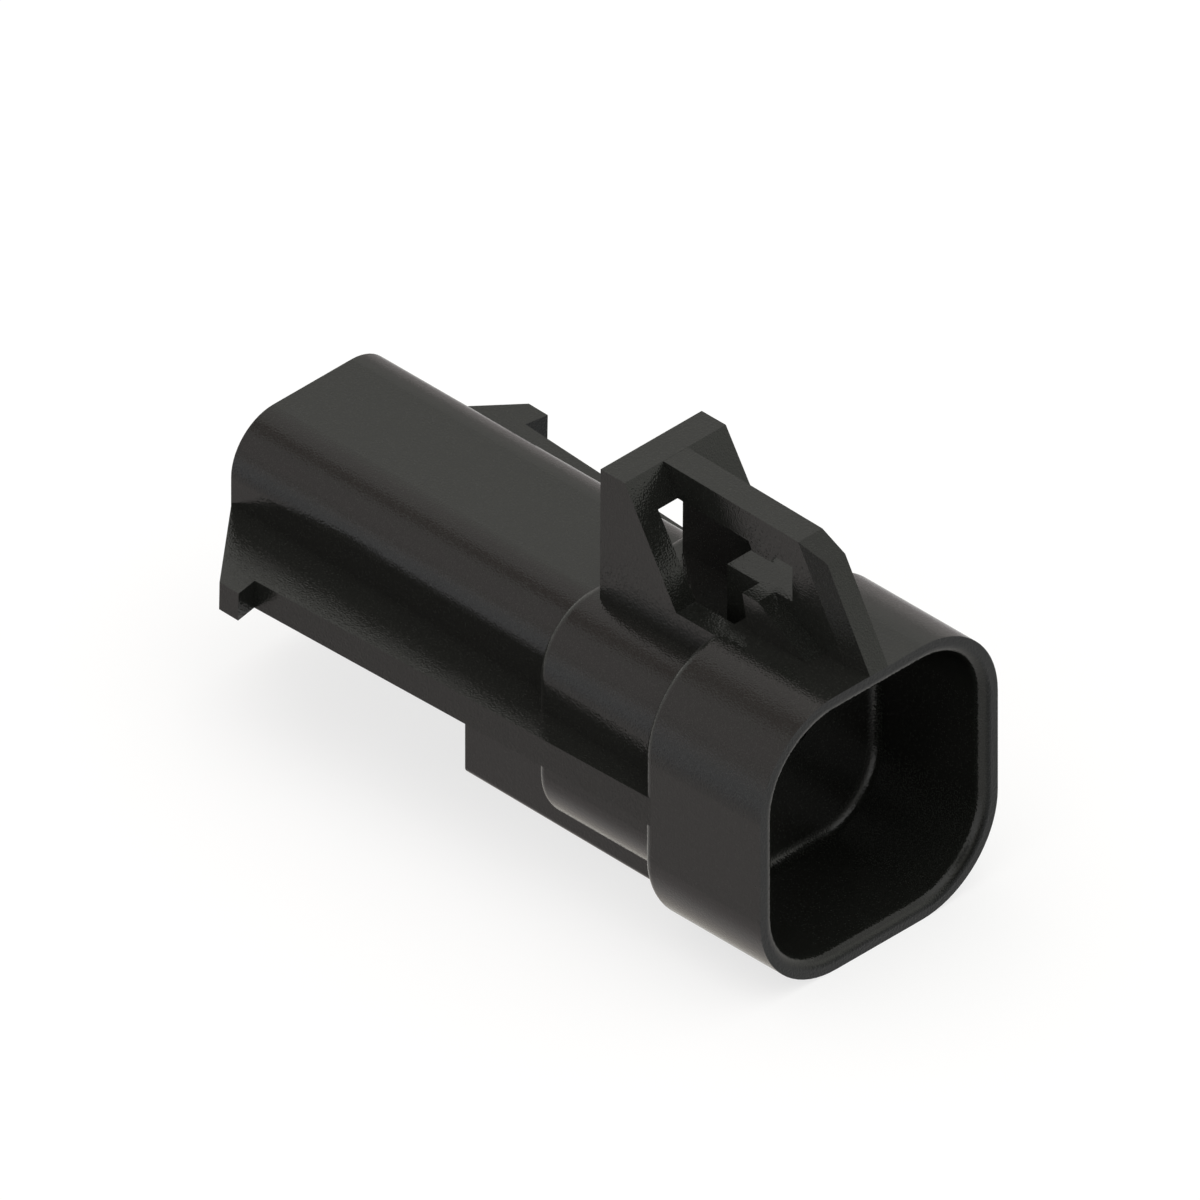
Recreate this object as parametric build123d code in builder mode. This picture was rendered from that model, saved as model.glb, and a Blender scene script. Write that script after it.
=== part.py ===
from build123d import *
import os
from math import atan2, cos, radians, sin, tan

os.makedirs("parts", exist_ok=True)

# Plug housing of a sealed wire connector, moulded in one piece.
# X runs from the wire end to the mating end, Y across, Z up.
# The origin lies on the surface that the housing rests on, under the middle of its length.

# Lengths along X, from the wire end forward
tube_length = 31.49
collar_length = 12.27
shroud_length = 11.54

# Shroud: the wide hood round the mating socket
shroud_width = 23.19
shroud_height = 23.10
shroud_radius = 7.39
shroud_wall = 1.50
socket_depth = 10.45
socket_floor_radius = 0.85
socket_lead_in_radius = 0.84

# Collar: the step between the shroud and the tube
collar_width = 19.37
collar_height = 18.23
collar_radius = 5.1
step_edge_radius = 0.84

# Tube: the wire end, open at the back for the wire seal
tube_width = 15.86
tube_height = 15.86
tube_radius = 4.12
tube_lift = 0.43
tube_wall = 1.35
seal_bore_depth = 15.0
seal_bore_floor_radius = 0.5
seal_bore_lead_in_radius = 0.5

# Terminal passages between the seal bore and the socket
terminal_pitch = 4.0
terminal_passage_width = 2.7
terminal_passage_height = 1.8
terminal_passage_radius = 0.3
terminal_passages = 2

# Side wings: a plate along each side, falling a little towards the shroud
wing_thickness = 2.31
wing_top_above_axis = 2.11
wing_fall_angle = 1.17
wing_root_width = 26.42

# Barbs at the wire end of the wings
barb_tip_width = 30.18
barb_sweep_length = 5.99
barb_tip_length = 1.86
barb_undercut = 0.30

# Keel under the body, with a slot for a mounting clip
keel_length = 23.12
keel_rear_width = 11.47
keel_front_width = 12.10
keel_edge_radius = 0.50
clip_slot_mouth = 5.2
clip_slot_width = 8.0
clip_slot_height = 1.5
clip_slot_lip = 1.2
clip_slot_length = 21.0

# Bridge: the guard over the latch, with the pad that it stands on
bridge_setback = 1.57
bridge_width = 9.87
bridge_foot_width = 10.01
bridge_height = 8.42
bridge_bar_length = 2.36
bridge_bar_height = 2.41
bridge_slope = 31.0

# Latch window through the bridge, and the well that it opens into
latch_window_top_width = 6.25
latch_window_foot_width = 6.12
latch_well_inset = 0.51

# Rib from the bridge to the rim, in line with the middle of the housing
rib_width = 2.35
rib_fall_angle = 1.13
rib_shoulder_length = 6.71
rib_nose_length = 4.18
rib_nose_drop = 1.02
rib_nose_width = 1.76
rib_nose_taper_length = 1.84
rib_leg_length = 7.28

# Stop under the strap of the rib
stop_depth = 0.64
stop_length = 1.72
stop_rear_run = 0.38
stop_front_run = 0.51
stop_gap = 1.69

# Latch nib on the shroud, with the web that stiffens it
nib_height = 2.82
nib_width = 5.76
nib_top_length = 1.49
nib_setback = 1.08
nib_undercut_angle = 10.0
nib_ramp_angle = 30.0
web_length = 2.11

# Stations and levels that follow from the sizes above
length = tube_length + collar_length + shroud_length
rear_x = -length / 2
rim_x = length / 2
collar_x = rear_x + tube_length
shroud_x = collar_x + collar_length
axis_z = shroud_height / 2
shroud_top_z = shroud_height
collar_top_z = axis_z + collar_height / 2
tube_axis_z = axis_z + tube_lift
tube_bottom_z = tube_axis_z - tube_height / 2
keel_x = shroud_x - keel_length
bridge_x = collar_x + bridge_setback
bridge_top_z = shroud_top_z + bridge_height
latch_window_top_z = bridge_top_z - bridge_bar_height
socket_floor_x = rim_x - socket_depth
seal_bore_floor_x = rear_x + seal_bore_depth

# How far one form runs on inside the next, so that they join as one
sink = 0.5


def face_at(builder, station):
    """Return the largest face that lies square to X at a station."""
    nearest = builder.faces().filter_by(Axis.X).group_by(
        lambda face: round(abs(face.center().X - station), 3)
    )[0]
    return nearest.sort_by(SortBy.AREA)[-1]


with BuildPart() as keel:
    # Plan, widening a little towards the shroud and level with its foot
    keel_front_x = shroud_x + step_edge_radius
    with BuildSketch(Plane.XY) as keel_plan:
        with BuildLine():
            Polyline(
                (keel_x, -keel_rear_width / 2),
                (keel_front_x, -keel_front_width / 2),
                (keel_front_x, keel_front_width / 2),
                (keel_x, keel_rear_width / 2),
                close=True,
            )
        make_face()
    extrude(amount=tube_bottom_z + sink)
    keel_foot_edges = keel.faces().sort_by(Axis.Z)[0].edges().sort_by(Axis.Y)
    fillet([keel_foot_edges[0], keel_foot_edges[-1]], keel_edge_radius)

with BuildPart() as bridge:
    # Front outline, a little wider at the foot
    with BuildSketch(Plane.YZ.offset(bridge_x)) as bridge_front:
        with BuildLine():
            Polyline(
                (-bridge_foot_width / 2, collar_top_z - sink),
                (bridge_foot_width / 2, collar_top_z - sink),
                (bridge_width / 2, bridge_top_z),
                (-bridge_width / 2, bridge_top_z),
                close=True,
            )
        make_face()
    extrude(amount=shroud_x + step_edge_radius - bridge_x)
    # Side outline: upright at the back, sloping at the front, with the pad at its foot
    bridge_lean = tan(radians(bridge_slope))
    with BuildSketch(Plane.XZ) as bridge_side:
        with BuildLine():
            Polyline(
                (bridge_x, collar_top_z - sink),
                (bridge_x, bridge_top_z),
                (bridge_x + bridge_bar_length, bridge_top_z),
                (bridge_x + bridge_bar_length + bridge_height * bridge_lean, shroud_top_z),
                (shroud_x + step_edge_radius, shroud_top_z),
                (shroud_x + step_edge_radius, collar_top_z - sink),
                close=True,
            )
        make_face()
    extrude(amount=bridge_foot_width, both=True, mode=Mode.INTERSECT)

with BuildPart() as rib:
    # Side outline: strap with its stop, nose, foot on the rim, shelf and web
    strap_x = bridge_x + bridge_bar_length / 2
    strap_fall = tan(radians(rib_fall_angle))
    shoulder_x = rim_x - rib_shoulder_length
    shoulder_z = bridge_top_z - (shoulder_x - strap_x) * strap_fall
    nose_x = rim_x - rib_nose_length
    nose_z = bridge_top_z - rib_nose_drop
    leg_x = rim_x - rib_leg_length
    leg_top_z = latch_window_top_z - (leg_x - strap_x) * strap_fall
    shelf_z = shroud_top_z + nib_height
    web_x = shroud_x - web_length
    stop_front_x = leg_x - stop_gap
    stop_rear_x = stop_front_x - stop_front_run - stop_length - stop_rear_run
    stop_front_z = latch_window_top_z - (stop_front_x - strap_x) * strap_fall
    stop_rear_z = latch_window_top_z - (stop_rear_x - strap_x) * strap_fall
    with BuildSketch(Plane.XZ) as rib_outline:
        with BuildLine():
            Polyline(
                (strap_x, bridge_top_z),
                (shoulder_x, shoulder_z),
                (nose_x, nose_z),
                (rim_x, shroud_top_z),
                (rim_x, shroud_top_z - sink),
                (shroud_x + latch_well_inset, shroud_top_z - sink),
                (shroud_x + latch_well_inset, collar_top_z - sink),
                (web_x, collar_top_z - sink),
                (web_x, shelf_z),
                (leg_x, shelf_z),
                (leg_x, leg_top_z),
                (stop_front_x, stop_front_z),
                (stop_front_x - stop_front_run, stop_front_z - stop_depth),
                (stop_rear_x + stop_rear_run, stop_front_z - stop_depth),
                (stop_rear_x, stop_rear_z),
                (strap_x, latch_window_top_z),
                close=True,
            )
        make_face()
    extrude(amount=rib_width / 2, both=True)
    # Cross-section square to the front edge, which thins the rib towards that edge
    front_lean = atan2(rib_nose_length, nose_z - shroud_top_z)
    front_plane = Plane(
        origin=(nose_x, 0, nose_z),
        x_dir=(-cos(front_lean), 0, -sin(front_lean)),
        z_dir=(sin(front_lean), 0, -cos(front_lean)),
    )
    with BuildSketch(front_plane) as rib_section:
        with BuildLine():
            Polyline(
                (0, -rib_nose_width / 2),
                (0, rib_nose_width / 2),
                (rib_nose_taper_length, rib_width / 2),
                (length, rib_width / 2),
                (length, -rib_width / 2),
                (rib_nose_taper_length, -rib_width / 2),
                close=True,
            )
        make_face()
    extrude(amount=length, both=True, mode=Mode.INTERSECT)
    # Nib: undercut catch face towards the wires, ramp towards the rim
    nib_x = shroud_x + nib_setback
    nib_catch_run = (nib_height + sink) * tan(radians(nib_undercut_angle))
    nib_ramp_run = (nib_height + sink) / tan(radians(nib_ramp_angle))
    with BuildSketch(Plane.XZ) as nib_outline:
        with BuildLine():
            Polyline(
                (nib_x, shelf_z),
                (nib_x + nib_top_length, shelf_z),
                (nib_x + nib_top_length + nib_ramp_run, shroud_top_z - sink),
                (nib_x + nib_catch_run, shroud_top_z - sink),
                close=True,
            )
        make_face()
    extrude(amount=nib_width / 2, both=True)

with BuildPart() as housing:
    # Collar, rounded at the back before the tube runs into it
    with BuildSketch(Plane.YZ.offset(collar_x)) as collar_section:
        with Locations((0, axis_z)):
            RectangleRounded(collar_width, collar_height, collar_radius)
    extrude(amount=collar_length)
    fillet(face_at(housing, collar_x).edges(), step_edge_radius)

    # Shroud
    with BuildSketch(Plane.YZ.offset(shroud_x)) as shroud_section:
        with Locations((0, axis_z)):
            RectangleRounded(shroud_width, shroud_height, shroud_radius)
    extrude(amount=shroud_length)
    fillet(face_at(housing, shroud_x).outer_wire().edges(), step_edge_radius)

    # Tube, running on inside the collar
    with BuildSketch(Plane.YZ.offset(rear_x)) as tube_section:
        with Locations((0, tube_axis_z)):
            RectangleRounded(tube_width, tube_height, tube_radius)
    extrude(amount=tube_length + collar_length)

    # Wings with their barbs, drawn on the plane of their upper faces
    fall = radians(wing_fall_angle)
    wing_plane = Plane(
        origin=(rear_x + wing_thickness * sin(fall), 0, axis_z + wing_top_above_axis),
        x_dir=(cos(fall), 0, -sin(fall)),
        z_dir=(sin(fall), 0, cos(fall)),
    )
    wing_run = (shroud_x + step_edge_radius - rear_x) / cos(fall)
    catch_x = barb_sweep_length + barb_tip_length
    with BuildSketch(wing_plane) as wing_plan:
        with BuildLine():
            Polyline(
                (0, 0),
                (0, tube_width / 2),
                (barb_sweep_length, barb_tip_width / 2),
                (catch_x, barb_tip_width / 2),
                (catch_x - barb_undercut, wing_root_width / 2),
                (wing_run, shroud_width / 2),
                (wing_run, 0),
                close=True,
            )
        make_face()
        mirror(about=Plane.XZ)
    extrude(amount=-wing_thickness)

    # Keel under both
    add(keel.part)

    # Latch: bridge on its pad, window and well through both, then the rib with the nib
    add(bridge.part)
    with BuildSketch(Plane.YZ.offset(bridge_x)) as latch_window:
        with BuildLine():
            Polyline(
                (-latch_window_foot_width / 2, collar_top_z),
                (latch_window_foot_width / 2, collar_top_z),
                (latch_window_top_width / 2, latch_window_top_z),
                (-latch_window_top_width / 2, latch_window_top_z),
                close=True,
            )
        make_face()
    extrude(amount=shroud_x + latch_well_inset - bridge_x, mode=Mode.SUBTRACT)
    add(rib.part)

    # Mating socket
    with BuildSketch(Plane.YZ.offset(rim_x)) as socket_section:
        with Locations((0, axis_z)):
            RectangleRounded(
                shroud_width - 2 * shroud_wall,
                shroud_height - 2 * shroud_wall,
                shroud_radius - shroud_wall,
            )
    extrude(amount=-socket_depth, mode=Mode.SUBTRACT)
    fillet(face_at(housing, socket_floor_x).outer_wire().edges(), socket_floor_radius)
    fillet(face_at(housing, rim_x).inner_wires()[0].edges(), socket_lead_in_radius)

    # Seal bore at the wire end
    with BuildSketch(Plane.YZ.offset(rear_x)) as seal_section:
        with Locations((0, tube_axis_z)):
            RectangleRounded(
                tube_width - 2 * tube_wall,
                tube_height - 2 * tube_wall,
                tube_radius - tube_wall,
            )
    extrude(amount=seal_bore_depth, mode=Mode.SUBTRACT)
    fillet(face_at(housing, seal_bore_floor_x).outer_wire().edges(), seal_bore_floor_radius)
    fillet(face_at(housing, rear_x).inner_wires()[0].edges(), seal_bore_lead_in_radius)

    # Terminal passages
    with BuildSketch(Plane.YZ.offset(seal_bore_floor_x)) as terminal_section:
        with Locations((0, axis_z)):
            with GridLocations(terminal_pitch, 0, terminal_passages, 1):
                RectangleRounded(
                    terminal_passage_width, terminal_passage_height, terminal_passage_radius
                )
    extrude(amount=socket_floor_x - seal_bore_floor_x, mode=Mode.SUBTRACT)

    # Slot for a mounting clip, open at the keel's rear end
    with BuildSketch(Plane.YZ.offset(keel_x)) as clip_section:
        Rectangle(clip_slot_mouth, clip_slot_lip, align=(Align.CENTER, Align.MIN))
        with Locations((0, clip_slot_lip)):
            Rectangle(clip_slot_width, clip_slot_height, align=(Align.CENTER, Align.MIN))
    extrude(amount=clip_slot_length, mode=Mode.SUBTRACT)

housing.part.label = "housing"
export_step(housing.part, "parts/housing.step")
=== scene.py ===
from math import cos, radians, sin, sqrt

import bpy
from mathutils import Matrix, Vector


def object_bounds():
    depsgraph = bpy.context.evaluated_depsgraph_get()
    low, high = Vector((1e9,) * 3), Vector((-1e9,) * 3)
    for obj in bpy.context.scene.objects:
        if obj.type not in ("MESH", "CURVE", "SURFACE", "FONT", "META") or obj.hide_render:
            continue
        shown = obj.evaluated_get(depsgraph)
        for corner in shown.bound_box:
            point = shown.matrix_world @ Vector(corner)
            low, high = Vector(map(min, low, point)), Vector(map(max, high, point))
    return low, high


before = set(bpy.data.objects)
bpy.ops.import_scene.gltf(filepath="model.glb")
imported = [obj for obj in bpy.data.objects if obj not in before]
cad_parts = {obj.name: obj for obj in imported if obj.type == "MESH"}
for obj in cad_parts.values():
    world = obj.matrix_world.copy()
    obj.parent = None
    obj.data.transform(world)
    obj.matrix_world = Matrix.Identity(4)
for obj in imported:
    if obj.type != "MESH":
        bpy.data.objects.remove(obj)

cad_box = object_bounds()


# The camera looks at the connector as the photograph does: along an exact isometric
# direction, with no perspective, from above the mating end and its near side. The tube's
# axis meets the wire end where it does in the photograph, counted in its own pixels.
photo_side = 1200
photo_axis_px = Vector((312.29, 480.68))
axis_step_m = 0.0845e-3
axis_height = 0.01155
view_azimuth = radians(45)
view_elevation = radians(35.2644)
foreshortening = sqrt(2 / 3)
photo_width = photo_side * axis_step_m * foreshortening
camera_distance = 0.5
nearest_seen = 0.01
farthest_seen = 10

towards_camera = Vector(
    (
        sin(view_azimuth) * cos(view_elevation),
        -cos(view_azimuth) * cos(view_elevation),
        sin(view_elevation),
    )
)
picture_right = Vector((cos(view_azimuth), sin(view_azimuth), 0))
picture_up = towards_camera.cross(picture_right)
wire_end_axis = Vector((cad_box[0].x, 0, axis_height))
metres_per_px = photo_width / photo_side
from_axis_px = Vector((photo_side / 2, photo_side / 2)) - photo_axis_px
picture_centre = (
    wire_end_axis
    + picture_right * from_axis_px.x * metres_per_px
    - picture_up * from_axis_px.y * metres_per_px
)

camera_data = bpy.data.cameras.new("photo_camera")
camera_data.type = "ORTHO"
camera_data.ortho_scale = photo_width
camera_data.clip_start = nearest_seen
camera_data.clip_end = farthest_seen
camera = bpy.data.objects.new("photo_camera", camera_data)
camera.location = picture_centre + towards_camera * camera_distance
camera.rotation_mode = "QUATERNION"
camera.rotation_quaternion = (-towards_camera).to_track_quat("-Z", "Y")
bpy.context.scene.collection.objects.link(camera)
bpy.context.scene.camera = camera


# Materials and the world are written as expressions. A Socket stands for a node's output and
# makes the Math nodes, and one method of Look makes every other kind of node.
class Socket:
    """An output of a shader node that adds Math nodes when it is used in an expression."""

    def __init__(self, look, output):
        self.look = look
        self.output = output

    def combine(self, operation, first, second):
        return self.look.add("ShaderNodeMath", {"operation": operation}, {0: first, 1: second})

    def __add__(self, other):
        return self.combine("ADD", self, other)

    def __radd__(self, other):
        return self.combine("ADD", other, self)

    def __sub__(self, other):
        return self.combine("SUBTRACT", self, other)

    def __rsub__(self, other):
        return self.combine("SUBTRACT", other, self)

    def __mul__(self, other):
        return self.combine("MULTIPLY", self, other)

    def __rmul__(self, other):
        return self.combine("MULTIPLY", other, self)


class Look:
    """A material or world whose nodes are added one by one."""

    def __init__(self, owner):
        owner.use_nodes = True
        self.owner = owner
        self.tree = owner.node_tree
        self.tree.nodes.clear()

    def add(self, kind, settings, values, output=0):
        """Make a node: its settings first, then the values or links of its sockets."""
        node = self.tree.nodes.new(kind)
        for name, setting in settings.items():
            setattr(node, name, setting)
        for name, value in values.items():
            if isinstance(value, Socket):
                self.tree.links.new(value.output, node.inputs[name])
            else:
                node.inputs[name].default_value = value
        return Socket(self, node.outputs[output]) if node.outputs else node


# The housing is one moulding in near-black plastic, which throws back almost no light of its
# own. The mould's fine grain breaks up what its skin reflects, and a few paler specks show.
plastic_dark = (0.0094, 0.0100, 0.0088, 1)
plastic_light = (0.0180, 0.0192, 0.0169, 1)
plastic_roughness = 0.10
roughness_spread = 0.03
plastic_ior = 1.38
grain_size = 0.00013
grain_depth = 0.000017
speck_size = 0.00007
speck_share = 0.3
swirl_size = 0.004
swirl_detail = 3.0
noise_middle = 0.5

plastic = Look(bpy.data.materials.new("black_moulded_plastic"))
place = plastic.add("ShaderNodeTexCoord", {}, {}, "Object")
grain = plastic.add(
    "ShaderNodeTexNoise",
    {},
    {"Vector": place, "Scale": 1 / grain_size, "Detail": 0.0},
    "Fac",
)
speck_colours = plastic.add(
    "ShaderNodeTexVoronoi", {}, {"Vector": place, "Scale": 1 / speck_size}, "Color"
)
specks = plastic.add(
    "ShaderNodeMapRange",
    {},
    {
        "Value": plastic.add("ShaderNodeSeparateXYZ", {}, {"Vector": speck_colours}, "X"),
        "From Min": 1 - speck_share,
        "From Max": 1.0,
    },
)
speckled = plastic.add(
    "ShaderNodeMix",
    {"data_type": "RGBA"},
    {0: specks, 6: plastic_dark, 7: plastic_light},
    2,
)
swirl = plastic.add(
    "ShaderNodeTexNoise",
    {},
    {"Vector": place, "Scale": 1 / swirl_size, "Detail": swirl_detail},
    "Fac",
)
skin = plastic.add(
    "ShaderNodeBump",
    {},
    {"Strength": 1.0, "Distance": grain_depth, "Height": grain},
)
plastic_shader = plastic.add(
    "ShaderNodeBsdfPrincipled",
    {},
    {
        "Base Color": speckled,
        "Roughness": plastic_roughness + roughness_spread * (swirl - noise_middle),
        "IOR": plastic_ior,
        "Normal": skin,
    },
)
plastic.add("ShaderNodeOutputMaterial", {}, {"Surface": plastic_shader})

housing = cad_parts["housing"]
for slot in housing.material_slots:
    slot.material = plastic.owner


# The stage is a pale floor in a white room. The camera sees both as white, and the floor
# still carries the soft shadow of the housing. What the plastic reflects, and the light that
# bounces on to it, pass through the floor to the studio below.
floor_half_side = 3.0
floor_gap = 0.00002
floor_colour = (0.96, 0.96, 0.96, 1)
floor_white_share = 0.72
white = (1, 1, 1, 1)

floor_look = Look(bpy.data.materials.new("pale_floor"))
seen_by_camera = floor_look.add("ShaderNodeLightPath", {}, {}, "Is Camera Ray")
paint = floor_look.add("ShaderNodeBsdfDiffuse", {}, {"Color": floor_colour})
glow = floor_look.add("ShaderNodeEmission", {}, {"Color": white, "Strength": 1.0})
floor_face = floor_look.add(
    "ShaderNodeMixShader",
    {},
    {"Fac": seen_by_camera * floor_white_share, 1: paint, 2: glow},
)
floor_look.add("ShaderNodeOutputMaterial", {}, {"Surface": floor_face})

floor_mesh = bpy.data.meshes.new("floor")
floor_corners = [
    (x * floor_half_side, y * floor_half_side, cad_box[0].z - floor_gap)
    for x, y in ((-1, -1), (1, -1), (1, 1), (-1, 1))
]
floor_mesh.from_pydata(floor_corners, [], [(0, 1, 2, 3)])
floor_mesh.materials.append(floor_look.owner)
floor = bpy.data.objects.new("floor", floor_mesh)
floor.visible_glossy = False
floor.visible_diffuse = False
bpy.context.scene.collection.objects.link(floor)


# The camera, and a look through glass, see a white room. What lights the housing and shines
# in its plastic is the studio round it: a pale sky, a duller ground, lamps far off near the
# horizon, and wide soft patches that are brighter or dimmer than the rest.
sky_colour = (0.956, 0.950, 0.899, 1)
ground_colour = (0.804, 0.788, 0.755, 1)
ground_top = -0.50
sky_foot = 0.30
studio_strength = 0.97
far_lamp_size = 0.06
far_lamp_gain = 2.2
far_lamps_start = -0.1
far_lamps_full = -0.4
far_lamps_reach = 0.4
# Each patch: the way it lies, the cosine at its edge, and the colour that it adds.
soft_patches = (
    ((-0.58, -0.21, 0.79), 0.970, (-0.40, -0.50, -0.47)),
    ((-0.58, 0.18, 0.80), 0.914, (0.13, 0.05, 0.08)),
    ((-0.64, -0.64, 0.42), 0.809, (0.11, 0.01, 0.06)),
    ((-0.57, -0.79, -0.21), 0.940, (0.06, 0.07, 0.15)),
    ((-0.56, -0.56, -0.62), 0.940, (-0.06, -0.10, -0.08)),
    ((-0.55, -0.15, -0.82), 0.906, (0.06, 0.03, 0.04)),
    ((-0.57, 0.23, -0.79), 0.927, (-0.05, -0.07, -0.10)),
    ((-0.59, 0.81, -0.03), 0.829, (-0.28, -0.31, -0.28)),
    ((-0.57, 0.65, -0.50), 0.927, (0.04, 0.05, 0.06)),
    ((-0.33, -0.84, -0.43), 0.950, (-0.42, -0.42, -0.40)),
    ((0.79, 0.58, 0.21), 0.900, (0.32, 0.33, 0.28)),
    ((0.56, 0.56, -0.62), 0.914, (0.02, 0.03, 0.06)),
    ((0.94, 0.23, -0.24), 0.740, (-0.46, -0.44, -0.39)),
    ((0.99, -0.10, 0.10), 0.800, (-0.45, -0.46, -0.45)),
    ((0.58, -0.58, 0.58), 0.920, (-0.90, -0.90, -0.87)),
    ((0.45, -0.88, 0.10), 0.700, (0.45, 0.45, 0.48)),
    ((0.45, 0.00, 0.89), 0.750, (0.60, 0.60, 0.62)),
)

room = bpy.data.worlds.new("white_room")
bpy.context.scene.world = room
room_look = Look(room)
direction = room_look.add("ShaderNodeTexCoord", {}, {}, "Generated")
height = room_look.add("ShaderNodeSeparateXYZ", {}, {"Vector": direction}, "Z")
sky_share = room_look.add(
    "ShaderNodeMapRange",
    {"interpolation_type": "SMOOTHSTEP"},
    {"Value": height, "From Min": ground_top, "From Max": sky_foot},
)
studio = room_look.add(
    "ShaderNodeMix",
    {"data_type": "RGBA"},
    {0: sky_share, 6: ground_colour, 7: sky_colour},
    2,
)
for towards, edge, gain in soft_patches:
    nearness = room_look.add(
        "ShaderNodeVectorMath",
        {"operation": "DOT_PRODUCT"},
        {0: direction, 1: Vector(towards).normalized()},
        "Value",
    )
    strength = room_look.add(
        "ShaderNodeMapRange",
        {"interpolation_type": "SMOOTHSTEP"},
        {"Value": nearness, "From Min": edge, "From Max": 1.0},
    )
    studio = room_look.add(
        "ShaderNodeVectorMath",
        {"operation": "MULTIPLY_ADD"},
        {0: strength, 1: gain, 2: studio},
    )
far_lamps = room_look.add(
    "ShaderNodeTexNoise",
    {},
    {"Vector": direction, "Scale": 1 / far_lamp_size, "Detail": 0.0},
    "Fac",
)
behind_tube = room_look.add(
    "ShaderNodeMapRange",
    {"interpolation_type": "SMOOTHSTEP"},
    {
        "Value": room_look.add("ShaderNodeSeparateXYZ", {}, {"Vector": direction}, "X"),
        "From Min": far_lamps_start,
        "From Max": far_lamps_full,
    },
)
near_horizon = room_look.add(
    "ShaderNodeMapRange",
    {"interpolation_type": "SMOOTHSTEP"},
    {"Value": height * height, "From Min": far_lamps_reach**2, "From Max": 0.0},
)
lit_room = room_look.add(
    "ShaderNodeBackground",
    {},
    {
        "Color": studio,
        "Strength": studio_strength
        + far_lamp_gain * behind_tube * near_horizon * (far_lamps - noise_middle),
    },
)
white_room = room_look.add("ShaderNodeBackground", {}, {"Color": white, "Strength": 1.0})
seen_directly = room_look.add("ShaderNodeLightPath", {}, {}, "Is Camera Ray")
seen_through_glass = room_look.add("ShaderNodeLightPath", {}, {}, "Is Transmission Ray")
room_seen = room_look.add(
    "ShaderNodeMixShader",
    {},
    {"Fac": seen_directly + seen_through_glass, 1: lit_room, 2: white_room},
)
room_look.add("ShaderNodeOutputWorld", {}, {"Surface": room_seen})


# One wide lamp overhead gives the floor its soft shadow, and isn't seen in the plastic. The
# picture's colours are shown as they are, by the Standard view.
lamp_side = 0.6
lamp_height = 0.7
lamp_offset = -0.08
lamp_power = 1.0
lamp_data = bpy.data.lights.new("soft_lamp", "AREA")
lamp_data.shape = "SQUARE"
lamp_data.size = lamp_side
lamp_data.energy = lamp_power
lamp = bpy.data.objects.new("soft_lamp", lamp_data)
lamp.location = (lamp_offset, lamp_offset, lamp_height)
lamp.rotation_mode = "QUATERNION"
lamp.rotation_quaternion = (-lamp.location).to_track_quat("-Z", "Y")
lamp.visible_glossy = False
bpy.context.scene.collection.objects.link(lamp)

bpy.context.scene.view_settings.view_transform = "Standard"
